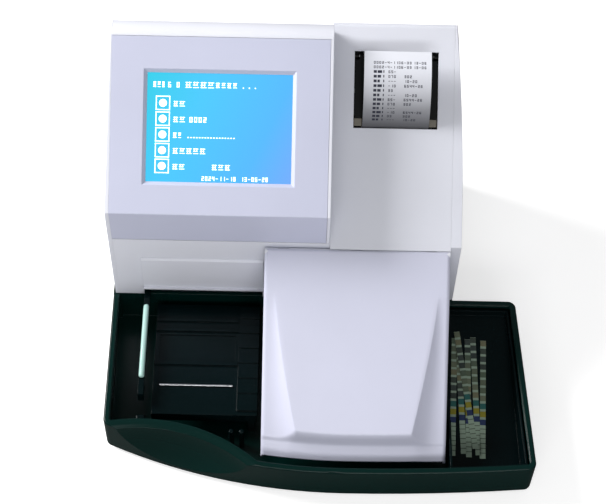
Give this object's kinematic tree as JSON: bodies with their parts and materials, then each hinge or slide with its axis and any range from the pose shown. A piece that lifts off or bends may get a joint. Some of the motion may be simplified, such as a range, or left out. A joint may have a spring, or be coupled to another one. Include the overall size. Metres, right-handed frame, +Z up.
{
  "type": "urine analyzer",
  "caption": "Bench-top test strip reader: sloped case with touch screen and strip printer, hinged front cover, and an open tray with a strip pusher and a lift-out waste bin.",
  "frame": {"origin": "on the table, under the middle of the whole footprint", "axes": "+Z up, -Y towards the operator (the tray side), +X to the operator's right"},
  "size_m": [0.3716, 0.338, 0.257],
  "materials": {
    "tray_green": "deep green moulded, glossy",
    "dark_plastic": "near-black green moulded",
    "shell_white": "off-white moulded, fine grain",
    "fascia_grey": "lavender grey moulded, fine grain",
    "touch_glass": "lit blue screen under a clear sheet",
    "black_plastic": "black moulded",
    "rod_mint": "pale mint, polished",
    "steel": "plain steel",
    "chrome": "ground and polished",
    "rubber_black": "black rubber",
    "paper_white": "thermal paper",
    "strip_paper": "plastic strips with pads",
    "board_green": "circuit board",
    "motor_black": "black painted motor",
    "lens_glass": "clear lens",
    "belt_black": "toothed rubber belt",
    "nylon_white": "natural nylon"
  },
  "bodies": {
    "case": {"base_tray": "tray_green", "case_screws": "steel", "chassis_plate": "steel", "conveyor_deck": "dark_plastic", "conveyor_guide_rod": "chrome", "conveyor_motor": "motor_black", "cover_pin": "steel", "display_board": "board_green", "display_fascia": "fascia_grey", "display_housing": "shell_white", "door_pin": "steel", "front_wall": "shell_white", "fuse_holder": "black_plastic", "guide_rods": "chrome", "idler_axle": "steel", "inlet_socket": "black_plastic", "io_ports": "steel", "lcd_module": "black_plastic", "main_board": "board_green", "mechanism_frame": "steel", "optics_bracket": "steel", "optics_motor": "motor_black", "optics_rails": "chrome", "power_supply": "board_green", "printer_frame": "black_plastic", "printer_housing": "shell_white", "printer_motor": "motor_black", "pusher_belt": "belt_black", "pusher_motor": "motor_black", "rear_panel": "shell_white", "rubber_feet": "rubber_black", "side_panel_left": "shell_white", "side_panel_right": "shell_white", "slide_rail": "chrome", "stop_posts": "dark_plastic", "strip_hood": "shell_white", "strip_platform": "dark_plastic", "switch_body": "black_plastic", "thermal_head": "steel", "touch_panel": "touch_glass"},
    "cover": {"front_cover": "shell_white"},
    "pusher": {"pusher_carriage": "black_plastic", "pusher_arm": "dark_plastic", "pusher_rod": "rod_mint"},
    "idler": {"idler_pulley": "nylon_white"},
    "driver": {"drive_pulley": "nylon_white"},
    "rake": {"conveyor_rake": "nylon_white"},
    "rake_pinion": {"conveyor_pinion": "nylon_white"},
    "reader": {"optical_head": "black_plastic", "optical_lens": "lens_glass"},
    "reader_screw": {"lead_screw": "chrome"},
    "bin": {"waste_bin": "dark_plastic", "used_strips": "strip_paper"},
    "door": {"printer_door": "black_plastic", "printed_paper": "paper_white"},
    "platen": {"platen_roller": "rubber_black", "platen_gear": "nylon_white"},
    "roll": {"paper_roll": "paper_white", "roll_spindle": "nylon_white"},
    "rocker": {"power_rocker": "black_plastic"}
  },
  "joints": [
    {"name": "cover_hinge", "type": "hinge", "parent": "case", "child": "cover", "pos_m": [0, 0.0004, 0.12874], "axis": [-1, 0, 0], "range_deg": [0, 75]},
    {"name": "pusher_slide", "type": "slide", "parent": "case", "child": "pusher", "axis": [1, 0, 0], "range_m": [0, 0.098]},
    {"name": "idler_spin", "type": "hinge", "parent": "case", "child": "idler", "pos_m": [-0.1671, 0.05, 0.062], "axis": [0, 0, 1], "range_deg": [-5, 744]},
    {"name": "driver_spin", "type": "hinge", "parent": "case", "child": "driver", "pos_m": [-0.0158, 0.05, 0.062], "axis": [0, 0, 1], "range_deg": [-5, 744]},
    {"name": "rake_slide", "type": "slide", "parent": "case", "child": "rake", "axis": [1, 0, 0], "range_m": [0, 0.024]},
    {"name": "rake_pinion_spin", "type": "hinge", "parent": "case", "child": "rake_pinion", "pos_m": [0.0277, 0.0285, 0.026], "axis": [0, 0, 1], "range_deg": [-5, 177]},
    {"name": "reader_slide", "type": "slide", "parent": "case", "child": "reader", "axis": [0, -1, 0], "range_m": [0, 0.064]},
    {"name": "reader_screw_spin", "type": "hinge", "parent": "case", "child": "reader_screw", "pos_m": [0.062, 0, 0.052], "axis": [0, -1, 0], "range_deg": [-10, 4618]},
    {"name": "bin_lift", "type": "slide", "parent": "case", "child": "bin", "axis": [0, 0, 1], "range_m": [0, 0.06]},
    {"name": "printer_door_hinge", "type": "hinge", "parent": "case", "child": "door", "pos_m": [0.06, 0.14496, 0.21709], "axis": [-1, 0, 0], "range_deg": [0, 70]},
    {"name": "platen_spin", "type": "hinge", "parent": "door", "child": "platen", "pos_m": [0.06, 0.10391, 0.18201], "axis": [-1, 0, 0], "continuous": true},
    {"name": "roll_spin", "type": "hinge", "parent": "case", "child": "roll", "pos_m": [0.06, 0.13068, 0.18635], "axis": [-1, 0, 0], "continuous": true},
    {"name": "power_rocker_tilt", "type": "hinge", "parent": "case", "child": "rocker", "pos_m": [-0.114, 0.163, 0.078], "axis": [0, 0, 1], "range_deg": [0, 14]}
  ],
  "couplings": [
    {"joint": "idler_spin", "follows": "pusher_slide", "rad_per_m": 131.58},
    {"joint": "driver_spin", "follows": "pusher_slide", "rad_per_m": 131.58},
    {"joint": "rake_pinion_spin", "follows": "rake_slide", "rad_per_m": 125},
    {"joint": "reader_screw_spin", "follows": "reader_slide", "rad_per_m": 1256.6},
    {"joint": "roll_spin", "follows": "platen_spin", "ratio": 0.29412}
  ]
}
